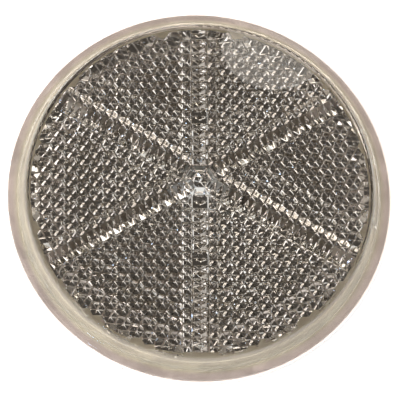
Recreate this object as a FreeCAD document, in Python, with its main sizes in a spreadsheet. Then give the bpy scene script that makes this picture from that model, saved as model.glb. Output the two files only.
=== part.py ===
# Round clear reflector, 60 mm across, for a bicycle.
# A clear lens with corner-cube prisms behind its flat front, welded onto a shallow back cover
# that holds a thin hexagonal nut for the fixing screw.
# The origin is at the middle of the flat back and +Z points out of the front face.
import FreeCAD, Part
import Sketcher
import math
import os
import re

doc = FreeCAD.newDocument("RoundReflector")

# Driving dimensions, millimetres and degrees
SIZES = [
    ("outer_diameter", 60.0, "over the flange of the back cover"),
    ("lens_setback", 0.3, "lens flange inside the cover flange, all round"),
    ("flange_width", 1.4, "lens flange outside the foot of the sloping side"),
    ("lens_flange", 1.0, "thickness of the lens flange"),
    ("side_run", 1.5, "from the foot of the side in to the flat front face"),
    ("step_height", 3.3, "front face above the flange"),
    ("skin", 1.3, "clear plastic in front of the prisms"),
    ("lens_wall", 0.9, "lens side wall, measured along the radius"),
    ("window_edge", 0.4, "radius on the edge of the front face"),
    ("flange_edge", 0.3, "bevel on the edge of the lens flange"),
    ("prism_pitch", 2.3, "hexagonal prisms across their flats"),
    ("prism_margin", 0.25, "from the prism field to the side wall"),
    ("sector_offset", 1.7, "centre of the six sectors from the middle of the lens"),
    ("strip_height", 1.33, "small roofs in the strips between the sectors"),
    ("strip_hip", 0.4, "length of a roof's sloping end"),
    ("cover_depth", 3.7, "from the back face to the joint with the lens"),
    ("cover_flange", 1.0, "thickness of the cover flange"),
    ("cover_wall", 1.2, "cover side wall and spigot"),
    ("back_plate", 1.5, "back plate of the cover"),
    ("spigot_height", 0.8, "locating ring that enters the lens"),
    ("spigot_clearance", 0.12, "between locating ring and lens"),
    ("back_edge", 0.8, "bevel round the back face"),
    ("cover_edge", 0.25, "bevel on the back edge of the cover flange"),
    ("rib_width", 1.0, "stiffening ribs inside the cover"),
    ("rib_height", 1.2, "ribs above the back plate"),
    ("rib_count", 6, "ribs round the boss"),
    ("boss_radius", 6.2, "boss that holds the nut"),
    ("seat_radius", 8.0, "shallow seat for the bracket"),
    ("seat_depth", 0.4, "depth of that seat"),
    ("screw_hole", 5.3, "hole in the back plate, diameter"),
    ("nut_flats", 8.0, "nut across its flats"),
    ("nut_thickness", 2.7, "thin nut"),
    ("nut_bore", 4.2, "bore of the nut under its thread, diameter"),
    ("nut_fit", 0.05, "play on each flat of the nut"),
]

sheet = doc.addObject("Spreadsheet::Sheet", "Sizes")
for row, (alias, value, note) in enumerate(SIZES, start=1):
    sheet.set("A%d" % row, alias.replace("_", " "))
    sheet.set("B%d" % row, str(value))
    sheet.set("C%d" % row, note)
    sheet.setAlias("B%d" % row, alias)
doc.recompute()


# An expression in the sheet's aliases, as a sketch or feature outside the sheet writes it
def linked(expression):
    text = expression
    for alias, _, _ in SIZES:
        text = re.sub(r"(?<![\w.])%s(?!\w)" % alias, "Sizes." + alias, text)
    return text


def size(expression):
    return float(sheet.evalExpression(linked(expression)))


def origin_plane(body, role):
    for feature in body.Origin.OriginFeatures:
        if feature.Role == role:
            return feature
    raise ValueError(role)


def new_sketch(body, name, role, lift=None):
    sketch = body.newObject("Sketcher::SketchObject", name)
    sketch.AttachmentSupport = (origin_plane(body, role), [""])
    sketch.MapMode = "FlatFace"
    if lift:
        sketch.setExpression(".AttachmentOffset.Base.z", linked(lift))
    return sketch


# Ties the start of one edge to a distance from the sketch's origin, or to the axis itself
def pin(sketch, edge, kind, expression, axis):
    if not expression:
        sketch.addConstraint(Sketcher.Constraint("PointOnObject", edge, 1, axis))
        return
    reading = Sketcher.Constraint(kind, -1, 1, edge, 1, size(expression))
    index = sketch.addConstraint(reading)
    sketch.setExpression("Constraints[%d]" % index, linked(expression))


# A closed outline whose corners are pairs of expressions; an empty one lies on the axis
def outline(sketch, corners):
    points = []
    for across, up in corners:
        x = size(across) if across else 0.0
        y = size(up) if up else 0.0
        points.append(FreeCAD.Vector(x, y, 0))
    count = len(points)
    for i in range(count):
        sketch.addGeometry(Part.LineSegment(points[i], points[(i + 1) % count]), False)
    for i in range(count):
        sketch.addConstraint(Sketcher.Constraint("Coincident", i, 2, (i + 1) % count, 1))
    for i, (across, up) in enumerate(corners):
        pin(sketch, i, "DistanceX", across, -2)
        pin(sketch, i, "DistanceY", up, -1)


def ring(sketch, radius):
    middle = FreeCAD.Vector(0, 0, 0)
    edge = sketch.addGeometry(Part.Circle(middle, FreeCAD.Vector(0, 0, 1), size(radius)), False)
    sketch.addConstraint(Sketcher.Constraint("Coincident", edge, 3, -1, 1))
    index = sketch.addConstraint(Sketcher.Constraint("Radius", edge, size(radius)))
    sketch.setExpression("Constraints[%d]" % index, linked(radius))


# A regular hexagon with two corners on the sketch's X axis
def hexagon(sketch, flats):
    reach = size(flats) / math.sqrt(3)
    middle = FreeCAD.Vector(0, 0, 0)
    circle = sketch.addGeometry(Part.Circle(middle, FreeCAD.Vector(0, 0, 1), reach), True)
    sketch.addConstraint(Sketcher.Constraint("Coincident", circle, 3, -1, 1))
    corners = []
    for i in range(6):
        turn = math.radians(60 * i)
        corners.append(FreeCAD.Vector(reach * math.cos(turn), reach * math.sin(turn), 0))
    first = circle + 1
    for i in range(6):
        sketch.addGeometry(Part.LineSegment(corners[i], corners[(i + 1) % 6]), False)
    for i in range(6):
        after = first + (i + 1) % 6
        sketch.addConstraint(Sketcher.Constraint("Coincident", first + i, 2, after, 1))
        sketch.addConstraint(Sketcher.Constraint("PointOnObject", first + i, 1, circle))
        if i < 5:
            sketch.addConstraint(Sketcher.Constraint("Equal", first + i, after))
    sketch.addConstraint(Sketcher.Constraint("PointOnObject", first, 1, -1))
    index = sketch.addConstraint(Sketcher.Constraint("Radius", circle, reach))
    sketch.setExpression("Constraints[%d]" % index, linked("(%s) / sqrt(3)" % flats))


def revolve(body, name, corners):
    sketch = new_sketch(body, name + "Profile", "XZ_Plane")
    outline(sketch, corners)
    turn = body.newObject("PartDesign::Revolution", name)
    turn.Profile = sketch
    turn.ReferenceAxis = (sketch, ["V_Axis"])
    turn.Angle = 360
    doc.recompute()
    return turn


def pad(body, sketch, name, length):
    feature = body.newObject("PartDesign::Pad", name)
    feature.Profile = sketch
    feature.setExpression("Length", linked(length))
    doc.recompute()
    return feature


def pocket(body, sketch, name, depth, reversed_way=False):
    before = body.Shape.Volume
    feature = body.newObject("PartDesign::Pocket", name)
    feature.Profile = sketch
    feature.Reversed = reversed_way
    feature.setExpression("Length", linked(depth))
    doc.recompute()
    if body.Shape.Volume > before - 0.1:
        raise ValueError(name + " cuts nothing")
    return feature


# Full circles of one radius at one height, which are the edges to be rounded
def rims(feature, radius, height):
    found = []
    for number, edge in enumerate(feature.Shape.Edges, start=1):
        curve = edge.Curve
        if not isinstance(curve, Part.Circle):
            continue
        if abs(curve.Radius - radius) < 1e-4 and abs(curve.Center.z - height) < 1e-4:
            found.append("Edge%d" % number)
    if not found:
        raise ValueError("no rim at %.3f, %.3f" % (radius, height))
    return found


def round_rim(body, base, name, radius, height, amount):
    fillet = body.newObject("PartDesign::Fillet", name)
    fillet.Base = (base, rims(base, size(radius), size(height)))
    fillet.setExpression("Radius", linked(amount))
    doc.recompute()
    return fillet


def bevel_rim(body, base, name, radius, height, amount):
    chamfer = body.newObject("PartDesign::Chamfer", name)
    chamfer.Base = (base, rims(base, size(radius), size(height)))
    chamfer.setExpression("Size", linked(amount))
    doc.recompute()
    return chamfer


# Heights and radii that the lens and the cover share
OUTER = "outer_diameter / 2"
JOINT = "cover_depth"
LEDGE = "(cover_depth + lens_flange)"
FACE = "(cover_depth + lens_flange + step_height)"
CEILING = "(cover_depth + lens_flange + step_height - skin)"
SLOPE = "(side_run / step_height)"
LENS_EDGE = "(outer_diameter / 2 - lens_setback)"
FOOT = "(outer_diameter / 2 - lens_setback - flange_width)"
WINDOW = "(outer_diameter / 2 - lens_setback - flange_width - side_run)"
CEILING_RADIUS = "(%s + %s * skin - lens_wall)" % (WINDOW, SLOPE)
MOUTH_RADIUS = "(%s + %s * lens_flange - lens_wall)" % (FOOT, SLOPE)
SPIGOT_RADIUS = "(%s - %s * spigot_height - spigot_clearance)" % (MOUTH_RADIUS, SLOPE)
COVER_INSIDE = "(%s - cover_wall)" % SPIGOT_RADIUS
FLANGE_BACK = "(cover_depth - cover_flange)"

# Lens blank: the flat front, its sloping side and the flange, hollow behind
blank = doc.addObject("PartDesign::Body", "LensBlank")
shell = revolve(blank, "LensForm", [
    ("", CEILING),
    (CEILING_RADIUS, CEILING),
    (MOUTH_RADIUS, JOINT),
    (LENS_EDGE, JOINT),
    (LENS_EDGE, LEDGE),
    (FOOT, LEDGE),
    (WINDOW, FACE),
    ("", FACE),
])
shell = round_rim(blank, shell, "FaceEdge", WINDOW, FACE, "window_edge")
shell = bevel_rim(blank, shell, "FlangeEdge", LENS_EDGE, LEDGE, "flange_edge")


# Corner-cube prisms. Each hexagon is one cube corner seen along its diagonal: the tip stands
# behind the middle, three corners of the outline lie in the ceiling and three lie half way up.
# The three faces of each prism are square to one another.
def prism(x, y, pitch, turn):
    reach = pitch / math.sqrt(3)
    step = pitch / math.sqrt(6)
    corners = []
    for i in range(6):
        angle = math.radians(60 * i) + turn
        rise = step if i % 2 else 0.0
        corners.append((x + reach * math.cos(angle), y + reach * math.sin(angle), rise))
    tip = (x, y, 2 * step)
    faces = []
    for i in (1, 3, 5):
        faces.append([tip, corners[i], corners[(i + 1) % 6], corners[(i + 2) % 6]])
    return corners, faces


# Keeps the side of a polygon where the distance is positive
def clipped(polygon, distance):
    kept = []
    for i, a in enumerate(polygon):
        b = polygon[(i + 1) % len(polygon)]
        da = distance(a)
        db = distance(b)
        if da > -1e-6:
            kept.append(a)
        if (da > 1e-6 and db < -1e-6) or (da < -1e-6 and db > 1e-6):
            share = da / (da - db)
            kept.append(tuple(a[k] + share * (b[k] - a[k]) for k in range(3)))
    return kept


def turned(point, angle):
    x = point[0] * math.cos(angle) - point[1] * math.sin(angle)
    y = point[0] * math.sin(angle) + point[1] * math.cos(angle)
    return (x, y, point[2])


def turned_cell(cell, angle):
    corners, faces = cell
    return [turned(p, angle) for p in corners], [[turned(p, angle) for p in f] for f in faces]


def area(polygon):
    total = 0.0
    for i, a in enumerate(polygon):
        b = polygon[(i + 1) % len(polygon)]
        total += a[0] * b[1] - a[1] * b[0]
    return abs(total) / 2


# One sector lies between two strips that leave the centre 30 degrees to either side of +X. The
# others are the same sector turned by 60 degrees, so their prisms alternate between two directions.
def sector(pitch, reach, prism_turn):
    half_strip = pitch / math.sqrt(3)
    slope = math.pi / 6

    def above(p):
        return p[1] * math.cos(slope) + p[0] * math.sin(slope) - half_strip

    def below(p):
        return -p[1] * math.cos(slope) + p[0] * math.sin(slope) - half_strip

    cells = []
    rows = int(reach / pitch) + 2
    for column in range(1, rows + 2):
        for row in range(-rows, rows):
            x = column * pitch * math.cos(slope)
            y = (row + 0.5 * (column % 2)) * pitch
            if above((x, y)) < 1e-6 or below((x, y)) < 1e-6:
                continue
            corners, faces = prism(x, y, pitch, prism_turn)
            faces = [clipped(clipped(face, above), below) for face in faces]
            corners = clipped(clipped(corners, above), below)
            cells.append((corners, [face for face in faces if len(face) > 2]))
    return cells


# A hipped roof over a level four-sided outline, its ridge along the first side
def roof(corners, first, last):
    a, b, c, d = corners
    faces = [[a, b, last, first], [b, c, last], [c, d, first, last], [d, a, first]]
    return corners, faces


def share_point(a, b, share, rise):
    return (a[0] + share * (b[0] - a[0]), a[1] + share * (b[1] - a[1]), rise)


# The strips between sectors carry small roofs, one to each prism pitch, their ridges along
# the strip.
def strip(pitch, reach, height, hip):
    half = pitch / math.sqrt(3)
    cells = []
    for row in range(1, int(reach / pitch) + 2):
        near = row * pitch
        far = near + pitch
        corners = [(near, -half, 0.0), (far, -half, 0.0), (far, half, 0.0), (near, half, 0.0)]
        cells.append(roof(corners, (near + hip, 0.0, height), (far - hip, 0.0, height)))
    return cells


# The strips end at a hexagon in the middle: one prism with six roofs round it
def hub(pitch, prism_turn):
    reach = pitch / math.sqrt(3)
    height = pitch / 4
    cells = [prism(0.0, 0.0, pitch, prism_turn)]
    for i in range(6):
        inner = []
        outer = []
        for angle in (math.pi / 3 * i, math.pi / 3 * (i + 1)):
            inner.append((reach * math.cos(angle), reach * math.sin(angle), 0.0))
            outer.append((2 * inner[-1][0], 2 * inner[-1][1], 0.0))
        ends = [share_point(inner[k], outer[k], 0.5, height) for k in (0, 1)]
        first = share_point(ends[0], ends[1], 0.2, height)
        last = share_point(ends[0], ends[1], 0.8, height)
        corners = [outer[0], outer[1], inner[1], inner[0]]
        cells.append(roof(corners, first, last))
    return cells


# All cells of the field, cut off at a circle whose middle lies off the centre of the sectors.
# A cell that the circle leaves too little of stays flat.
def field_faces(cells, radius, offset, sides, least_share):
    edge = 2 * math.pi / sides

    def within(polygon):
        kept = polygon
        for i in range(sides):
            across = (math.cos(edge * i), math.sin(edge * i))

            def room(p):
                return radius - p[0] * across[0] - (p[1] + offset) * across[1]

            if min(room(p) for p in polygon) > 0:
                continue
            kept = clipped(kept, room)
            if len(kept) < 3:
                return []
        return kept

    faces = []
    for corners, cell_faces in cells:
        inside = within(corners)
        if len(inside) < 3:
            continue
        if area(inside) < least_share * area(corners):
            faces.append([(p[0], p[1], 0.0) for p in inside])
            continue
        for face in cell_faces:
            part = within(face)
            if len(part) > 2:
                faces.append(part)
    return faces


# Numbers every place in plan, and keeps the heights met there. What differs by less than
# NEAR is one place or one height.
NEAR = 1e-5


class Places:
    def __init__(self):
        self.squares = {}
        self.points = []
        self.rises = []

    def number(self, point):
        square = (math.floor(point[0] * 100), math.floor(point[1] * 100))
        for i in (0, -1, 1):
            for j in (0, -1, 1):
                for n in self.squares.get((square[0] + i, square[1] + j), []):
                    known = self.points[n]
                    if math.hypot(known[0] - point[0], known[1] - point[1]) < NEAR:
                        return n
        self.squares.setdefault(square, []).append(len(self.points))
        self.points.append((point[0], point[1]))
        self.rises.append([0.0])
        return len(self.points) - 1

    def corner(self, n, rise):
        for known in self.rises[n]:
            if abs(known - rise) < NEAR:
                return (n, known)
        self.rises[n].append(rise)
        return (n, rise)


# Takes out corners that are met twice and spikes that run out and back
def tidied(corners):
    kept = list(corners)
    changed = True
    while changed and len(kept) > 2:
        changed = False
        for i in range(len(kept)):
            if kept[i][0] == kept[i - 1][0]:
                del kept[i]
                changed = True
                break
            if kept[i - 2][0] == kept[i][0]:
                for corner in (kept[i - 1], kept[i]):
                    kept.remove(corner)
                changed = True
                break
    return kept if len(kept) > 2 else []


# Faces as lists of (place, rise). Where a corner of one face lies along the edge of its
# neighbour, the edge gets that corner too.
def matched(faces, places, pitch):
    numbered = []
    for face in faces:
        corners = tidied([places.corner(places.number(p), p[2]) for p in face])
        if corners:
            numbered.append(corners)
    near = {}
    for n, p in enumerate(places.points):
        near.setdefault((math.floor(p[0] / pitch), math.floor(p[1] / pitch)), []).append(n)
    result = []
    for corners in numbered:
        longer = []
        for i, a in enumerate(corners):
            b = corners[(i + 1) % len(corners)]
            longer.append(a)
            longer += between(a, b, places, near, pitch)
        longer = tidied(longer)
        if longer:
            result.append(longer)
    return result


def between(a, b, places, near, pitch):
    points = places.points
    start = points[a[0]]
    end = points[b[0]]
    run = math.hypot(end[0] - start[0], end[1] - start[1])
    low_x = math.floor((min(start[0], end[0]) - 0.01) / pitch)
    high_x = math.floor((max(start[0], end[0]) + 0.01) / pitch)
    low_y = math.floor((min(start[1], end[1]) - 0.01) / pitch)
    high_y = math.floor((max(start[1], end[1]) + 0.01) / pitch)
    found = []
    for cell_x in range(low_x, high_x + 1):
        for cell_y in range(low_y, high_y + 1):
            for n in near.get((cell_x, cell_y), []):
                if n in (a[0], b[0]):
                    continue
                dx = points[n][0] - start[0]
                dy = points[n][1] - start[1]
                along = (dx * (end[0] - start[0]) + dy * (end[1] - start[1])) / run
                off = (dx * (end[1] - start[1]) - dy * (end[0] - start[0])) / run
                if abs(off) < NEAR and 0 < along < run:
                    found.append((along / run, n))
    return [places.corner(n, a[1] + share * (b[1] - a[1])) for share, n in sorted(found)]


# Upright walls close the steps between neighbours of different height, down to the ceiling.
# Edges with no neighbour bound the prism field.
def walls_and_border(faces):
    sides = {}
    for face in faces:
        for i, a in enumerate(face):
            b = face[(i + 1) % len(face)]
            sides.setdefault(tuple(sorted((a[0], b[0]))), []).append((a, b))
    walls = []
    border = []
    for uses in sides.values():
        if len(uses) == 1:
            border.append(uses[0])
        elif set(uses[0]) == set(uses[1]):
            continue
        for a, b in uses:
            wall = [a, b] + [(n, 0.0) for n, rise in (b, a) if rise > 0]
            if len(wall) > 2:
                walls.append(wall)
    return walls, border


def loop(border):
    after = {a[0]: b[0] for a, b in border}
    first = border[0][0][0]
    numbers = [first]
    while after[numbers[-1]] != first:
        numbers.append(after[numbers[-1]])
    if len(numbers) != len(border):
        raise ValueError("the border of the prism field isn't one loop")
    return numbers


# The lens: its blank with the flat ceiling replaced by the prism field
SECTORS = 6
FIELD_SIDES = 96
LEAST_SHARE = 0.35


def finish_lens():
    pitch = size("prism_pitch")
    offset = size("sector_offset")
    ceiling = size(CEILING)
    radius = size(CEILING_RADIUS) - size("prism_margin")
    prism_turn = 0.0

    cells = hub(pitch, prism_turn)
    turn = 2 * math.pi / SECTORS
    for i in range(SECTORS):
        for cell in sector(pitch, radius + offset, prism_turn):
            cells.append(turned_cell(cell, turn * i))
        for cell in strip(pitch, radius + offset, size("strip_height"), size("strip_hip")):
            cells.append(turned_cell(cell, turn * (i + 0.5)))
    places = Places()
    faces = matched(field_faces(cells, radius, offset, FIELD_SIDES, LEAST_SHARE), places, pitch)
    walls, border = walls_and_border(faces)

    def placed(corner):
        n, rise = corner
        x, y = places.points[n]
        return FreeCAD.Vector(x, y + offset, ceiling - rise)

    def ring_of(corners):
        points = [placed(corner) for corner in corners]
        return Part.makePolygon(points + points[:1])

    skins = [Part.Face(ring_of(corners)) for corners in faces + walls]
    hole = ring_of([(n, 0.0) for n in loop(border)])
    for face in blank.Shape.Faces:
        flat = isinstance(face.Surface, Part.Plane)
        if flat and abs(face.CenterOfMass.z - ceiling) < 1e-4 and abs(face.normalAt(0, 0).z) > 0.99:
            skins.append(Part.makeFace([face.OuterWire, hole], "Part::FaceMakerBullseye"))
        else:
            skins.append(face)
    joined = Part.makeCompound(skins)
    joined.sewShape()
    solid = Part.Solid(joined.Shells[0])
    if solid.Volume < 0:
        solid.reverse()
    print("prism faces", len(faces), "walls", len(walls), "shells", len(joined.Shells))
    print("tip height above the joint %.2f" % (ceiling - 2 * pitch / math.sqrt(6) - size(JOINT)))
    return solid


lens = doc.addObject("Part::Feature", "Lens")
lens.Label = "lens"
lens.Shape = finish_lens()
lens.Placement = FreeCAD.Placement()

# Back cover: a shallow dish with a flange under the lens and a ring that locates it
cover = doc.addObject("PartDesign::Body", "BackCover")
cover.Label = "back_cover"
dish = revolve(cover, "CoverForm", [
    ("", ""),
    (SPIGOT_RADIUS, ""),
    (SPIGOT_RADIUS, FLANGE_BACK),
    (OUTER, FLANGE_BACK),
    (OUTER, JOINT),
    (SPIGOT_RADIUS, JOINT),
    (SPIGOT_RADIUS, JOINT + " + spigot_height"),
    (COVER_INSIDE, JOINT + " + spigot_height"),
    (COVER_INSIDE, "back_plate"),
    ("", "back_plate"),
])
dish = bevel_rim(cover, dish, "BackEdge", SPIGOT_RADIUS, "0", "back_edge")
dish = bevel_rim(cover, dish, "CoverEdge", OUTER, FLANGE_BACK, "cover_edge")

boss_sketch = new_sketch(cover, "BossProfile", "XY_Plane", "back_plate")
ring(boss_sketch, "boss_radius")
boss = pad(cover, boss_sketch, "Boss", "nut_thickness")

rib_sketch = new_sketch(cover, "RibProfile", "XY_Plane", "back_plate")
RIB_START = "boss_radius - cover_wall"
RIB_END = COVER_INSIDE + " + cover_wall / 2"
outline(rib_sketch, [
    (RIB_START, "-rib_width / 2"),
    (RIB_END, "-rib_width / 2"),
    (RIB_END, "rib_width / 2"),
    (RIB_START, "rib_width / 2"),
])
rib = pad(cover, rib_sketch, "Rib", "rib_height")
ribs = cover.newObject("PartDesign::PolarPattern", "Ribs")
ribs.Originals = [rib]
ribs.Axis = (rib_sketch, ["N_Axis"])
ribs.Angle = 360
ribs.setExpression("Occurrences", linked("rib_count"))
cover.Tip = ribs
doc.recompute()

nut_pocket_sketch = new_sketch(cover, "NutPocketProfile", "XY_Plane", "back_plate + nut_thickness")
hexagon(nut_pocket_sketch, "nut_flats + 2 * nut_fit")
pocket(cover, nut_pocket_sketch, "NutPocket", "nut_thickness")

seat_sketch = new_sketch(cover, "SeatProfile", "XY_Plane")
ring(seat_sketch, "seat_radius")
pocket(cover, seat_sketch, "BracketSeat", "seat_depth", True)

hole_sketch = new_sketch(cover, "ScrewHoleProfile", "XY_Plane")
ring(hole_sketch, "screw_hole / 2")
pocket(cover, hole_sketch, "ScrewHole", "back_plate + nut_thickness", True)

# Thin nut, its corners turned off on both faces
nut = doc.addObject("PartDesign::Body", "FixingNut")
nut.Label = "fixing_nut"
nut_sketch = new_sketch(nut, "NutProfile", "XY_Plane", "back_plate")
hexagon(nut_sketch, "nut_flats")
pad(nut, nut_sketch, "NutBlank", "nut_thickness")
bore_sketch = new_sketch(nut, "NutBoreProfile", "XY_Plane", "back_plate + nut_thickness")
ring(bore_sketch, "nut_bore / 2")
bored = pocket(nut, bore_sketch, "NutBore", "nut_thickness")
NUT_CORNER = "nut_flats / sqrt(3)"
TURNED_RADIUS = "nut_flats * 0.475"
TURNED_DEPTH = "(nut_flats / sqrt(3) - nut_flats * 0.475) * tan(30 deg)"
for name, low, high in (
    ("LowerCorners", "back_plate", "back_plate + " + TURNED_DEPTH),
    ("UpperCorners", "back_plate + nut_thickness", "back_plate + nut_thickness - " + TURNED_DEPTH),
):
    corner_sketch = new_sketch(nut, name + "Profile", "XZ_Plane")
    outline(corner_sketch, [
        (TURNED_RADIUS, low),
        (NUT_CORNER + " + 1", low),
        (NUT_CORNER + " + 1", high),
        (NUT_CORNER, high),
    ])
    groove = nut.newObject("PartDesign::Groove", name)
    groove.Profile = corner_sketch
    groove.ReferenceAxis = (corner_sketch, ["V_Axis"])
    groove.Angle = 360
    doc.recompute()

doc.recompute()
for item in doc.Objects:
    for state in item.State:
        if state in ("Invalid", "Error"):
            raise ValueError(item.Name + " failed")

os.makedirs("parts", exist_ok=True)
for part in (lens, cover, nut):
    shape = part.Shape
    if shape.isNull() or not shape.isValid() or shape.Volume <= 0:
        raise ValueError(part.Label + " has no valid shape")
    shape.exportStep("parts/%s.step" % part.Label)
    box = shape.BoundBox
    print(part.Label, "solids", len(shape.Solids), "volume %.1f" % shape.Volume,
          "z %.3f to %.3f" % (box.ZMin, box.ZMax), "x %.3f to %.3f" % (box.XMin, box.XMax))
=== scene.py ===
import bpy, bmesh, math
from mathutils import Vector, Matrix


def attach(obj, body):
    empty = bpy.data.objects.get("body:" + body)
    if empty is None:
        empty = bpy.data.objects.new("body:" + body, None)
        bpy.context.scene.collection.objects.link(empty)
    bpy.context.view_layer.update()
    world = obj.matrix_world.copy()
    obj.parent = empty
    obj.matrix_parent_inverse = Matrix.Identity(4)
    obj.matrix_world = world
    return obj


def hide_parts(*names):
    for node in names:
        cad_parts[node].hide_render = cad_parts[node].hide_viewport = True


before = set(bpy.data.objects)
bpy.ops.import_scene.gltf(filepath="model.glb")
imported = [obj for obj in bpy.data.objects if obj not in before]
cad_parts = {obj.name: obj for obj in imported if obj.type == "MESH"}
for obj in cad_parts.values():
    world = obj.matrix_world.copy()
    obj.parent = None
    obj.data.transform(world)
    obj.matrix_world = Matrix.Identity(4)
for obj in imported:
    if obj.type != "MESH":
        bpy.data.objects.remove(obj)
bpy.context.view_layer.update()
scene = bpy.context.scene
mm = 0.001


def srgb(hexCode):
    parts = [int(hexCode[i:i + 2], 16) / 255 for i in (1, 3, 5)]
    return [c / 12.92 if c <= 0.04045 else ((c + 0.055) / 1.055) ** 2.4 for c in parts] + [1.0]


def addNode(tree, kind, settings=None, inputs=None, links=None):
    node = tree.nodes.new(kind)
    for name, value in (settings or {}).items():
        setattr(node, name, value)
    for name, value in (inputs or {}).items():
        node.inputs[name].default_value = value
    for name, socket in (links or {}).items():
        tree.links.new(socket, node.inputs[name])
    return node


def newMaterial(name):
    material = bpy.data.materials.new(name)
    material.use_nodes = True
    material.node_tree.nodes.clear()
    return material, material.node_tree


def ramp(tree, factor, stops):
    node = addNode(tree, "ShaderNodeValToRGB", links={"Fac": factor})
    elements = node.color_ramp.elements
    while len(elements) < len(stops):
        elements.new(0.5)
    for element, (position, colour) in zip(elements, stops):
        element.position = position
        element.color = srgb(colour)
    return node.outputs["Color"]


def noise(tree, place, scale, detail, roughness=0.5):
    node = addNode(tree, "ShaderNodeTexNoise",
                   inputs={"Scale": scale, "Detail": detail, "Roughness": roughness},
                   links={"Vector": place})
    return node.outputs["Fac"]


def remap(tree, value, start, end, low=0.0, high=1.0):
    node = addNode(tree, "ShaderNodeMapRange",
                   inputs={"From Min": start, "From Max": end, "To Min": low, "To Max": high},
                   links={"Value": value})
    return node.outputs[0]


def bumpFrom(tree, height, strength, depth):
    node = addNode(tree, "ShaderNodeBump", inputs={"Strength": strength, "Distance": depth * mm},
                   links={"Height": height})
    return node.outputs[0]


def calculate(tree, operation, links, inputs=None):
    return addNode(tree, "ShaderNodeMath", {"operation": operation}, inputs, links).outputs[0]


def axisDistance(tree, place):
    flat = addNode(tree, "ShaderNodeVectorMath", {"operation": "MULTIPLY"},
                   {1: (1.0, 1.0, 0.0)}, {0: place})
    length = addNode(tree, "ShaderNodeVectorMath", {"operation": "LENGTH"},
                     links={0: flat.outputs[0]})
    return length.outputs["Value"]


def heightOf(tree, place):
    return addNode(tree, "ShaderNodeSeparateXYZ", links={0: place}).outputs["Z"]


# rays that show the background: straight from the camera, or mirrored or let through by glass
def viewRays(tree):
    rays = addNode(tree, "ShaderNodeLightPath").outputs
    glass = calculate(tree, "MAXIMUM", {0: rays["Is Glossy Ray"], 1: rays["Is Transmission Ray"]})
    return rays["Is Camera Ray"], glass


def wear(node, material):
    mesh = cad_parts[node].data
    mesh.materials.clear()
    mesh.materials.append(material)


# Lens: clear acrylic, injection moulded. Lengths in mm, noises as scale and detail
lensLook = {
    "tint": "#f9f8f4", "ior": 1.491,
    "flow": (90.0, 2.0), "flowBump": (0.008, 0.4),
    "haze": (420.0, 3.0), "hazeFrom": 0.55, "hazeTo": 0.8, "haziest": 0.05,
    "scratches": (260.0, 6.0, 0.7), "wornFrom": 0.3, "wornTo": 0.7, "worn": (0.6, 1.4),
    "scuffFrom": 26.9, "scuffTo": 27.3, "scuffShare": 0.2, "scuffRoughness": 0.3,
    "ledgeFrom": 28.4, "ledgeTo": 28.9, "slopeColour": "#ece4cc", "ledgeColour": "#e9dad4",
    "flatBand": 0.02, "mattShare": 0.7,
    "ceiling": 6.7, "joint": 3.7, "fieldRadius": 26.1, "flatRing": 0.2,
    "sectorCentre": 1.7, "roofHeight": 1.33, "shortestRidge": 1.0,
    "notch": 0.8, "notchDepth": 0.9,
    "prismEdge": 0.18, "shortest": 0.35, "edgeSegments": 3,
    "rims": ((29.7, 3.7, 0.16), (29.7, 4.4, 0.16), (29.4, 4.7, 0.16), (28.3, 4.7, 0.45)),
    "weldGap": 0.03, "sideFrom": 26.4,
    # how near counts as the same, mm, and how well aligned
    "samePoint": 0.0015, "sameHeight": 0.01, "samePlace": 0.02, "aboveJoint": 0.05,
    "aboveCeiling": 0.2, "level": 0.999, "towardsCentre": 0.9999,
    # angles between faces, in radians
    "merge": math.radians(0.6), "almostFlat": 0.05, "crease": math.radians(20),
    "sharp": math.radians(24),
}


def clearAcrylic():
    look = lensLook
    material, tree = newMaterial("clearAcrylicMoulded")
    place = addNode(tree, "ShaderNodeTexCoord").outputs["Object"]
    # faint flow waves of the moulding
    waves = bumpFrom(tree, noise(tree, place, *look["flow"]), *look["flowBump"])
    haze = remap(tree, noise(tree, place, *look["haze"]), look["hazeFrom"], look["hazeTo"],
                 high=look["haziest"])
    clear = addNode(tree, "ShaderNodeBsdfPrincipled", inputs={
        "Base Color": srgb(look["tint"]),
        "IOR": look["ior"],
        "Transmission Weight": 1.0,
    }, links={"Roughness": haze, "Normal": waves})
    # the rim is scuffed milky by handling: yellowish on the side, pinkish on the ledge
    radius = axisDistance(tree, place)
    outer = remap(tree, radius, look["scuffFrom"] * mm, look["scuffTo"] * mm)
    ledge = remap(tree, radius, look["ledgeFrom"] * mm, look["ledgeTo"] * mm)
    milk = ramp(tree, ledge, [(0.0, look["slopeColour"]), (1.0, look["ledgeColour"])])
    least, most = (share * look["scuffShare"] for share in look["worn"])
    worn = remap(tree, noise(tree, place, *look["scratches"]), look["wornFrom"], look["wornTo"],
                 least, most)
    scuff = calculate(tree, "MULTIPLY", {0: outer, 1: worn})
    # the flats beside the prisms keep the matt grain of the mould
    onFlat = calculate(tree, "COMPARE", {0: heightOf(tree, place)},
                       {1: look["ceiling"] * mm, 2: look["flatBand"] * mm})
    grain = calculate(tree, "MULTIPLY", {0: onFlat}, {1: look["mattShare"]})
    amount = calculate(tree, "MAXIMUM", {0: scuff, 1: grain})
    scuffed = addNode(tree, "ShaderNodeBsdfDiffuse", inputs={"Roughness": look["scuffRoughness"]},
                      links={"Color": milk})
    shader = addNode(tree, "ShaderNodeMixShader",
                     links={0: amount, 1: clear.outputs[0], 2: scuffed.outputs[0]})
    addNode(tree, "ShaderNodeOutputMaterial", links={"Surface": shader.outputs[0]})
    return material


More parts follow.
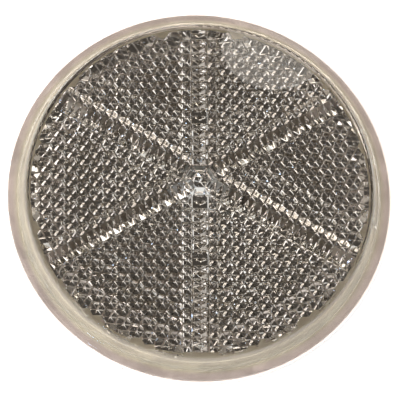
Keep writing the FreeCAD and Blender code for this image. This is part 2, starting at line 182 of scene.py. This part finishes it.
# Flat faces get their whole outline back, apart from the ring between prisms and side wall
def mergeFlats(bm):
    look = lensLook
    inner = look["fieldRadius"] * mm + look["flatRing"] * mm

    def inRing(edge):
        faces = edge.link_faces
        return (all(face.normal.z < -look["level"] for face in faces)
                and max(vert.co.xy.length for face in faces for vert in face.verts) >= inner)

    bmesh.ops.dissolve_limit(bm, angle_limit=look["merge"], use_dissolve_boundaries=False,
                             verts=[], edges=[edge for edge in bm.edges if not inRing(edge)])


# Ridges of the small roofs in the strips. They point at the centre of the sectors
def stripRidges(bm):
    look = lensLook
    centre = Vector((0.0, look["sectorCentre"] * mm, 0.0))
    ridgeHeight = (look["ceiling"] - look["roofHeight"]) * mm
    near = look["sameHeight"] * mm
    ridges = []
    for edge in bm.edges:
        start, end = (vert.co for vert in edge.verts)
        middle = (start + end) / 2 - centre
        along = (end - start).xy
        if (abs(start.z - ridgeHeight) < near and abs(end.z - ridgeHeight) < near
                and along.length > look["shortestRidge"] * mm
                and abs(along.normalized().dot(middle.xy.normalized())) > look["towardsCentre"]):
            ridges.append(edge)
    return ridges


# A notch across the middle of a ridge, down both sides of the roof to its eaves
def cutNotch(ridge):
    look = lensLook
    first, last = ridge.verts
    start, end = first.co.copy(), last.co.copy()
    middle = (start + end) / 2
    way = (end - start).normalized()
    sides = list(ridge.link_faces)
    half = look["notch"] / 2 * mm / (end - start).length
    low = bmesh.utils.edge_split(ridge, first, 0.5 - half)[1]
    rest = next(edge for edge in low.link_edges if last in edge.verts)
    dip = bmesh.utils.edge_split(rest, low, half / (0.5 + half))[1]
    rest = next(edge for edge in dip.link_edges if last in edge.verts)
    high = bmesh.utils.edge_split(rest, dip, half / 0.5)[1]
    eaves = (look["ceiling"] - look["samePlace"]) * mm
    for face in sides:
        for edge in face.edges:
            a, b = edge.verts
            fromA, fromB = (a.co - middle).dot(way), (b.co - middle).dot(way)
            if fromA * fromB < 0 and a.co.z > eaves and b.co.z > eaves:
                foot = bmesh.utils.edge_split(edge, a, fromA / (fromA - fromB))[1]
                other = bmesh.utils.face_split(face, dip, foot)[0]
                for part in (face, other):
                    shoulder = low if low in part.verts else high
                    bmesh.utils.face_split(part, shoulder, foot)
                break
    dip.co.z += look["notchDepth"] * mm


def bevel(bm, edges, width):
    bmesh.ops.bevel(bm, geom=edges, offset=width * mm, offset_type="OFFSET", affect="EDGES",
                    segments=lensLook["edgeSegments"], profile=0.5, material=-1,
                    clamp_overlap=False)


# Prism edges are rounded as the mould's are, apart from slivers
def roundPrisms(bm):
    look = lensLook
    shortest = look["shortest"] * mm

    def clearOfSlivers(vert):
        return not any(edge.calc_length() < shortest
                       and edge.calc_face_angle(0) > look["almostFlat"]
                       for edge in vert.link_edges)

    def inField(vert):
        return (vert.co.xy.length < look["fieldRadius"] * mm
                and vert.co.z > (look["joint"] + look["aboveJoint"]) * mm
                and vert.co.z < (look["ceiling"] + look["aboveCeiling"]) * mm)

    edges = [edge for edge in bm.edges
             if len(edge.link_faces) == 2 and edge.calc_face_angle(0) > look["crease"]
             and edge.calc_length() > shortest
             and all(inField(vert) and clearOfSlivers(vert) for vert in edge.verts)]
    bevel(bm, edges, look["prismEdge"])
    return len(edges)


# The flange's edges and the foot of the side: radius, height and width of each rounding
def roundRims(bm):
    near = lensLook["samePlace"] * mm

    def onRim(vert, radius, height):
        return (abs(vert.co.xy.length - radius * mm) < near
                and abs(vert.co.z - height * mm) < near)

    for radius, height, width in lensLook["rims"]:
        rim = [edge for edge in bm.edges
               if all(onRim(vert, radius, height) for vert in edge.verts)]
        bevel(bm, rim, width)


def roundedLens(material):
    look = lensLook
    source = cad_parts["lens"]
    bm = bmesh.new()
    bm.from_mesh(source.data)
    bm.transform(source.matrix_world)
    bmesh.ops.remove_doubles(bm, verts=bm.verts, dist=look["samePoint"] * mm)
    mergeFlats(bm)
    for ridge in stripRidges(bm):
        cutNotch(ridge)
    rounded = roundPrisms(bm)
    roundRims(bm)
    # the weld leaves a hairline of air under the flange
    for vert in bm.verts:
        if vert.co.z < (look["joint"] + look["sameHeight"]) * mm:
            vert.co.z += look["weldGap"] * mm
    bmesh.ops.recalc_face_normals(bm, faces=bm.faces)
    # flat faces stay flat: smooth shading would tilt their mirror images
    for face in bm.faces:
        outside = all(vert.co.xy.length > look["sideFrom"] * mm for vert in face.verts)
        face.smooth = outside and abs(face.normal.z) < look["level"]
    for edge in bm.edges:
        edge.smooth = edge.calc_face_angle(0) < look["sharp"]
    mesh = bpy.data.meshes.new("lensMoulding")
    bm.to_mesh(mesh)
    bm.free()
    lens = bpy.data.objects.new("lensMoulding", mesh)
    scene.collection.objects.link(lens)
    mesh.materials.append(material)
    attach(lens, "root")
    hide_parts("lens")
    print("lens faces", len(mesh.polygons), "prism edges", rounded)


acrylic = clearAcrylic()
roundedLens(acrylic)
wear("lens", acrylic)
print("lens done")

# Back cover: off-white polystyrene, moulded, slightly matt
coverLook = {
    "colour": "#f3eae5", "shade": "#e9deda", "cloud": (60.0, 3.0),
    # painted shade: dark greys for the inside of the dish, the radius where it fades out and the
    # height above the back plate where it starts
    "paintedShade": "#8f867c", "paintedShadeDeep": "#7c7368", "paintedShadeMottle": (1400.0, 4.0),
    "paintedShadeRadius": (21.6, 22.8), "paintedShadeHeight": (1.2, 1.45),
    "grain": (900.0, 2.0), "grainFrom": 0.3, "grainTo": 0.7, "roughness": (0.34, 0.5),
    "grainBump": (0.25, 0.04), "ior": 1.59,
}


def coverPlastic():
    look = coverLook
    material, tree = newMaterial("offWhitePolystyreneMoulded")
    place = addNode(tree, "ShaderNodeTexCoord").outputs["Object"]
    pale = ramp(tree, noise(tree, place, *look["cloud"]),
                [(0.35, look["shade"]), (0.65, look["colour"])])
    # painted shade: the inside of the dish, under the prism field, is coloured dark grey with a
    # random mottle, standing in for the shade there
    paintedShade = ramp(tree, noise(tree, place, *look["paintedShadeMottle"]),
                [(0.35, look["paintedShadeDeep"]), (0.65, look["paintedShade"])])
    near, far = (radius * mm for radius in look["paintedShadeRadius"])
    within = remap(tree, axisDistance(tree, place), near, far, 1.0, 0.0)
    low, high = (height * mm for height in look["paintedShadeHeight"])
    above = remap(tree, heightOf(tree, place), low, high)
    # mask of the painted shade: inside the dish radius and above the back plate
    paintedShadeMask = calculate(tree, "MULTIPLY", {0: within, 1: above})
    blend = addNode(tree, "ShaderNodeMix", {"data_type": "RGBA"},
                    links={"Factor": paintedShadeMask, 6: pale, 7: paintedShade})
    # spark-eroded mould surface
    grain = noise(tree, place, *look["grain"])
    rough = remap(tree, grain, look["grainFrom"], look["grainTo"], *look["roughness"])
    shader = addNode(tree, "ShaderNodeBsdfPrincipled", inputs={"IOR": look["ior"]},
                     links={"Base Color": blend.outputs[2], "Roughness": rough,
                            "Normal": bumpFrom(tree, grain, *look["grainBump"])})
    addNode(tree, "ShaderNodeOutputMaterial", links={"Surface": shader.outputs[0]})
    return material


wear("back_cover", coverPlastic())
print("cover done")

# Nut: bright zinc on steel, turned faces
nutLook = {
    "bright": "#c9ccd0", "dull": "#a9adb2", "stain": (500.0, 4.0), "roughness": (0.22, 0.42),
    "turnScale": 2600.0, "turnWander": 1.5, "turnBump": (0.3, 0.02),
}


def zincPlate():
    look = nutLook
    material, tree = newMaterial("zincPlatedSteelTurned")
    place = addNode(tree, "ShaderNodeTexCoord").outputs["Object"]
    turning = addNode(tree, "ShaderNodeTexWave", {"wave_type": "RINGS", "rings_direction": "Z"},
                      {"Scale": look["turnScale"], "Distortion": look["turnWander"]},
                      {"Vector": place})
    stain = noise(tree, place, *look["stain"])
    colour = ramp(tree, stain, [(0.35, look["dull"]), (0.6, look["bright"])])
    rough = remap(tree, stain, 0.0, 1.0, *look["roughness"])
    bump = bumpFrom(tree, turning.outputs["Fac"], *look["turnBump"])
    shader = addNode(tree, "ShaderNodeBsdfPrincipled", inputs={"Metallic": 1.0},
                     links={"Base Color": colour, "Roughness": rough, "Normal": bump})
    addNode(tree, "ShaderNodeOutputMaterial", links={"Surface": shader.outputs[0]})
    return material


wear("fixing_nut", zincPlate())
print("nut done")

# Floor: white paper, a little below the back face
floorLook = {
    "size": 1.5, "drop": 0.2, "fibres": (700.0, 4.0),
    "valley": "#f1f1f1", "peak": "#f5f5f5", "glow": 1.08, "glowShare": 0.85,
}
bm = bmesh.new()
bmesh.ops.create_grid(bm, x_segments=1, y_segments=1, size=floorLook["size"])
floorMesh = bpy.data.meshes.new("floor")
bm.to_mesh(floorMesh)
bm.free()
floor = bpy.data.objects.new("floor", floorMesh)
scene.collection.objects.link(floor)
floor.location.z = -floorLook["drop"] * mm
paperMaterial, tree = newMaterial("whitePaper")
place = addNode(tree, "ShaderNodeTexCoord").outputs["Object"]
paper = addNode(tree, "ShaderNodeBsdfDiffuse",
                links={"Color": ramp(tree, noise(tree, place, *floorLook["fibres"]),
                                     [(0.3, floorLook["valley"]), (0.7, floorLook["peak"])])})
# seen by the camera, also in the glass, the sheet is this pale, so the shadow stays faint
glow = addNode(tree, "ShaderNodeEmission", inputs={"Strength": floorLook["glow"]})
cameraRay, glassRay = viewRays(tree)
seen = calculate(tree, "MAXIMUM", {0: cameraRay, 1: glassRay})
share = calculate(tree, "MULTIPLY", {0: seen}, {1: floorLook["glowShare"]})
sheet = addNode(tree, "ShaderNodeMixShader",
                links={0: share, 1: paper.outputs[0], 2: glow.outputs[0]})
addNode(tree, "ShaderNodeOutputMaterial", links={"Surface": sheet.outputs[0]})
floorMesh.materials.append(paperMaterial)
print("floor done")

# Camera, aimed at the middle of the front face
view = {
    "target": (0.0, -0.0014, 0.0066), "azimuth": -10.3, "elevation": 72.7, "roll": 10.4,
    "distance": 0.6607, "lens": 384.4, "clipStart": 0.01,
}
azimuth, elevation = math.radians(view["azimuth"]), math.radians(view["elevation"])
away = Vector((math.sin(azimuth) * math.cos(elevation), -math.cos(azimuth) * math.cos(elevation),
               math.sin(elevation)))
cameraData = bpy.data.cameras.new("camera")
cameraData.lens = view["lens"]
cameraData.clip_start = view["clipStart"]
camera = bpy.data.objects.new("camera", cameraData)
camera.location = Vector(view["target"]) + away * view["distance"]
upright = (-away).to_track_quat("-Z", "Y").to_matrix()
facing = upright @ Matrix.Rotation(math.radians(view["roll"]), 3, "Z")
camera.rotation_euler = facing.to_euler()
scene.collection.objects.link(camera)
scene.camera = camera
print("camera done")

# Studio light: soft panels, a blue patch of sky and a small far window. The overhead panel
# is veiled: it lights what is matt, and leaves no glint or mirror image
lamps = [
    {"name": "key", "shape": "RECTANGLE", "place": (0.35, 0.85, 0.8), "size": (1.0, 0.8),
     "power": 5.5, "colour": "#fff1e2"},
    {"name": "fill", "shape": "RECTANGLE", "place": (-0.7, -0.2, 0.9), "size": (0.6, 0.9),
     "power": 3.5, "colour": "#fff8f2"},
    {"name": "overhead", "shape": "RECTANGLE", "place": (-0.3, -0.15, 1.2), "size": (0.8, 0.8),
     "power": 30.0, "colour": "#fffaf5", "veiled": True},
    {"name": "sky", "shape": "DISK", "place": (-0.7, -0.75, 0.6), "size": (0.16, 0.16),
     "power": 1.4, "colour": "#bcd6ff"},
    {"name": "window", "shape": "ELLIPSE", "place": (0.098, 0.43, 1.188), "size": (0.045, 0.035),
     "power": 0.012, "colour": "#fff8ee"},
]
for lamp in lamps:
    data = bpy.data.lights.new(lamp["name"], "AREA")
    data.shape = lamp["shape"]
    data.size, data.size_y = lamp["size"]
    data.energy = lamp["power"]
    data.color = srgb(lamp["colour"])[:3]
    light = bpy.data.objects.new(lamp["name"], data)
    light.location = lamp["place"]
    light.visible_glossy = light.visible_transmission = not lamp.get("veiled", False)
    light.rotation_euler = Vector(lamp["place"]).to_track_quat("Z", "Y").to_euler()
    scene.collection.objects.link(light)

# Room: pale walls under a dark ceiling, in front of a white background
roomLook = {
    "walls": [(0.0, "#d2cac3"), (0.4, "#a39b94"), (0.78, "#3a3632")], "strength": 1.35,
    "background": "#ffffff", "horizon": 0.02,
}
world = bpy.data.worlds.new("studio")
scene.world = world
world.use_nodes = True
tree = world.node_tree
tree.nodes.clear()
direction = addNode(tree, "ShaderNodeTexCoord").outputs["Generated"]
height = heightOf(tree, direction)
walls = ramp(tree, height, roomLook["walls"])
room = addNode(tree, "ShaderNodeBackground", inputs={"Strength": roomLook["strength"]},
               links={"Color": walls})
white = addNode(tree, "ShaderNodeBackground", inputs={"Color": srgb(roomLook["background"])})
# all of it is white for the camera, and below the horizon for the glass too
cameraRay, glassRay = viewRays(tree)
below = calculate(tree, "LESS_THAN", {0: height}, {1: roomLook["horizon"]})
pale = calculate(tree, "MULTIPLY", {0: glassRay, 1: below})
seen = calculate(tree, "MAXIMUM", {0: cameraRay, 1: pale})
mix = addNode(tree, "ShaderNodeMixShader",
              links={0: seen, 1: room.outputs[0], 2: white.outputs[0]})
addNode(tree, "ShaderNodeOutputWorld", links={"Surface": mix.outputs[0]})
print("light done")

# many prism faces lie behind one another
scene.cycles.max_bounces = 24
scene.cycles.diffuse_bounces = 1
scene.cycles.glossy_bounces = 16
scene.cycles.transmission_bounces = 16
scene.view_settings.view_transform = "Standard"
